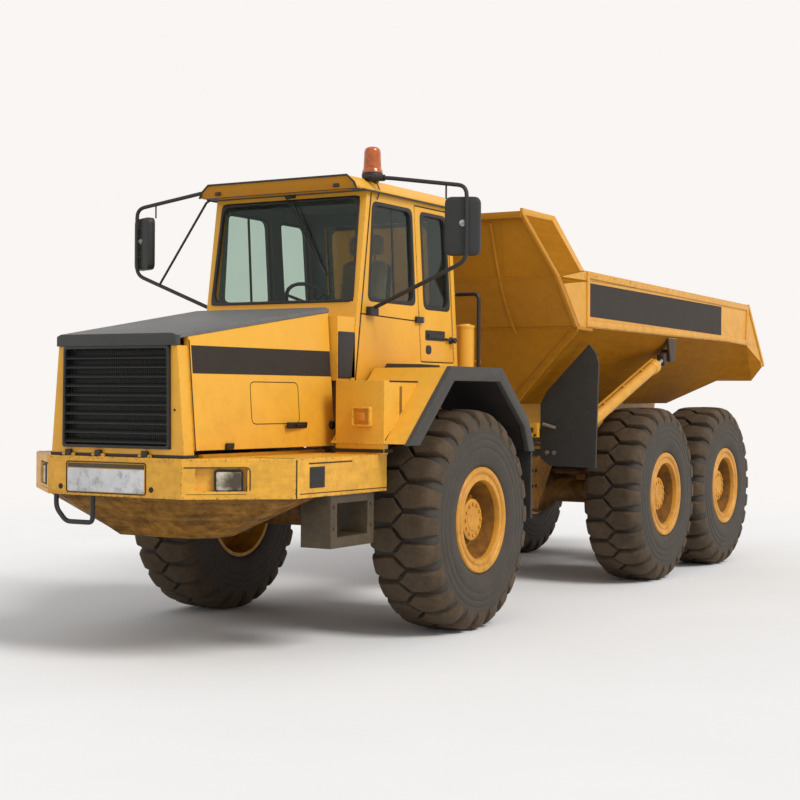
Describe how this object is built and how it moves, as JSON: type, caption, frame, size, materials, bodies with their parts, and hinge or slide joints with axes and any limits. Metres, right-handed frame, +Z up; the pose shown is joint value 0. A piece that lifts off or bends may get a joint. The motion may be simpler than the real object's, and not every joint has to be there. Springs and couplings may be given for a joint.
{
  "type": "articulated dump truck",
  "caption": "Six-wheel articulated dump truck: cab and engine unit hinged to a bogie frame with a tipping body, opening cab door and tilting hood.",
  "frame": {"origin": "on the ground, under the middle of the length between the bumper and the tail, on the centre line", "axes": "-Y forward, +Y towards the tail, +X to the left side, +Z up"},
  "size_m": [3.315, 10.21, 3.804],
  "materials": {
    "yellow_paint": "semi-gloss enamel with dust and chips",
    "black_parts": "satin black paint",
    "engine_paint": "dark painted casting",
    "charcoal_hood": "matt anti-glare hood finish",
    "cab_mat": "ribbed floor mat",
    "dark_plastic": "grained moulding",
    "tinted_glass": "green-tinted glass",
    "seat_cloth": "woven cloth",
    "amber_lens": "moulded amber lens on a black base",
    "flap_rubber": "dusty rubber sheet",
    "hoist_chrome": "ground and plated rod",
    "tyre_rubber": "dusty tread"
  },
  "bodies": {
    "front_unit": {"front_frame": "yellow_paint", "bumper": "yellow_paint", "belly_plate": "yellow_paint", "tow_bar": "black_parts", "engine": "engine_paint", "cab_floor": "cab_mat", "cab_left": "yellow_paint", "cab_right": "yellow_paint", "window_left": "tinted_glass", "window_right_front": "tinted_glass", "window_right_rear": "tinted_glass", "cab_front": "yellow_paint", "windshield": "tinted_glass", "cab_rear": "yellow_paint", "window_rear": "tinted_glass", "cab_roof": "yellow_paint", "seat": "seat_cloth", "dashboard": "dark_plastic", "mirror_left": "black_parts", "mirror_right": "black_parts", "beacon": "amber_lens", "fender_left": "yellow_paint", "fender_right": "yellow_paint", "front_axle": "yellow_paint", "grab_rail": "black_parts"},
    "cab_door": {"cab_door": "yellow_paint", "window_door": "tinted_glass"},
    "hood": {"nose_frame": "yellow_paint", "grille": "black_parts", "hood_top": "charcoal_hood", "hood_side_left": "yellow_paint", "hood_side_right": "yellow_paint"},
    "hitch": {"hitch": "yellow_paint"},
    "rear_unit": {"rear_frame": "yellow_paint", "middle_axle": "yellow_paint", "rear_axle": "yellow_paint", "stone_flap_left": "flap_rubber", "stone_flap_right": "flap_rubber"},
    "tipping_body": {"body_floor": "yellow_paint", "body_side_left": "yellow_paint", "body_side_right": "yellow_paint", "headboard": "yellow_paint"},
    "hoist_barrel_left": {"hoist_barrel_left": "yellow_paint"},
    "hoist_stage_left": {"hoist_stage_left": "hoist_chrome"},
    "hoist_rod_left": {"hoist_rod_left": "hoist_chrome"},
    "hoist_barrel_right": {"hoist_barrel_right": "yellow_paint"},
    "hoist_stage_right": {"hoist_stage_right": "hoist_chrome"},
    "hoist_rod_right": {"hoist_rod_right": "hoist_chrome"},
    "wheel_front_left": {"tyre_front_left": "tyre_rubber", "rim_front_left": "yellow_paint"},
    "wheel_front_right": {"tyre_front_right": "tyre_rubber", "rim_front_right": "yellow_paint"},
    "wheel_middle_left": {"tyre_middle_left": "tyre_rubber", "rim_middle_left": "yellow_paint"},
    "wheel_middle_right": {"tyre_middle_right": "tyre_rubber", "rim_middle_right": "yellow_paint"},
    "wheel_rear_left": {"tyre_rear_left": "tyre_rubber", "rim_rear_left": "yellow_paint"},
    "wheel_rear_right": {"tyre_rear_right": "tyre_rubber", "rim_rear_right": "yellow_paint"}
  },
  "joints": [
    {"name": "steering", "type": "hinge", "parent": "front_unit", "child": "hitch", "pos_m": [0, -1.215, 1.11], "axis": [0, 0, 1], "range_deg": [-45, 45]},
    {"name": "frame_roll", "type": "hinge", "parent": "hitch", "child": "rear_unit", "pos_m": [0, -0.775, 1.11], "axis": [0, 1, 0], "range_deg": [-12, 12]},
    {"name": "tipping", "type": "hinge", "parent": "rear_unit", "child": "tipping_body", "pos_m": [0, 3.935, 1.56], "axis": [-1, 0, 0], "range_deg": [0, 70]},
    {"name": "hoist_swing_left", "type": "hinge", "parent": "rear_unit", "child": "hoist_barrel_left", "pos_m": [1.225, 0.015, 1.555], "axis": [1, 0, 0], "range_deg": [0, 8.6]},
    {"name": "hoist_stage_left", "type": "slide", "parent": "hoist_barrel_left", "child": "hoist_stage_left", "axis": [0, 0.9459, 0.3246], "range_m": [0, 1.139]},
    {"name": "hoist_rod_left", "type": "slide", "parent": "hoist_stage_left", "child": "hoist_rod_left", "axis": [0, 0.9459, 0.3246], "range_m": [0, 1.139]},
    {"name": "hoist_swing_right", "type": "hinge", "parent": "rear_unit", "child": "hoist_barrel_right", "pos_m": [-1.225, 0.015, 1.555], "axis": [1, 0, 0], "range_deg": [0, 8.6]},
    {"name": "hoist_stage_right", "type": "slide", "parent": "hoist_barrel_right", "child": "hoist_stage_right", "axis": [0, 0.9459, 0.3246], "range_m": [0, 1.139]},
    {"name": "hoist_rod_right", "type": "slide", "parent": "hoist_stage_right", "child": "hoist_rod_right", "axis": [0, 0.9459, 0.3246], "range_m": [0, 1.139]},
    {"name": "cab_door", "type": "hinge", "parent": "front_unit", "child": "cab_door", "pos_m": [0.719, -1.66736, 2.74], "axis": [0, -0.1034, 0.9946], "range_deg": [0, 85]},
    {"name": "hood", "type": "hinge", "parent": "front_unit", "child": "hood", "pos_m": [0, -5.087, 1.412], "axis": [1, 0, 0], "range_deg": [0, 60]},
    {"name": "wheel_front_left", "type": "hinge", "parent": "front_unit", "child": "wheel_front_left", "pos_m": [1.143, -2.415, 0.86171], "axis": [1, 0, 0], "continuous": true},
    {"name": "wheel_front_right", "type": "hinge", "parent": "front_unit", "child": "wheel_front_right", "pos_m": [-1.143, -2.415, 0.86171], "axis": [1, 0, 0], "continuous": true},
    {"name": "wheel_middle_left", "type": "hinge", "parent": "rear_unit", "child": "wheel_middle_left", "pos_m": [1.143, 1.585, 0.86171], "axis": [1, 0, 0], "continuous": true},
    {"name": "wheel_middle_right", "type": "hinge", "parent": "rear_unit", "child": "wheel_middle_right", "pos_m": [-1.143, 1.585, 0.86171], "axis": [1, 0, 0], "continuous": true},
    {"name": "wheel_rear_left", "type": "hinge", "parent": "rear_unit", "child": "wheel_rear_left", "pos_m": [1.143, 3.405, 0.86171], "axis": [1, 0, 0], "continuous": true},
    {"name": "wheel_rear_right", "type": "hinge", "parent": "rear_unit", "child": "wheel_rear_right", "pos_m": [-1.143, 3.405, 0.86171], "axis": [1, 0, 0], "continuous": true}
  ],
  "couplings": [
    {"joint": "hoist_swing_left", "follows": "tipping", "ratio": 0.11629},
    {"joint": "hoist_stage_left", "follows": "tipping", "m_per_rad": 0.92377},
    {"joint": "hoist_rod_left", "follows": "tipping", "m_per_rad": 0.92377},
    {"joint": "hoist_swing_right", "follows": "tipping", "ratio": 0.11629},
    {"joint": "hoist_stage_right", "follows": "tipping", "m_per_rad": 0.92377},
    {"joint": "hoist_rod_right", "follows": "tipping", "m_per_rad": 0.92377}
  ]
}
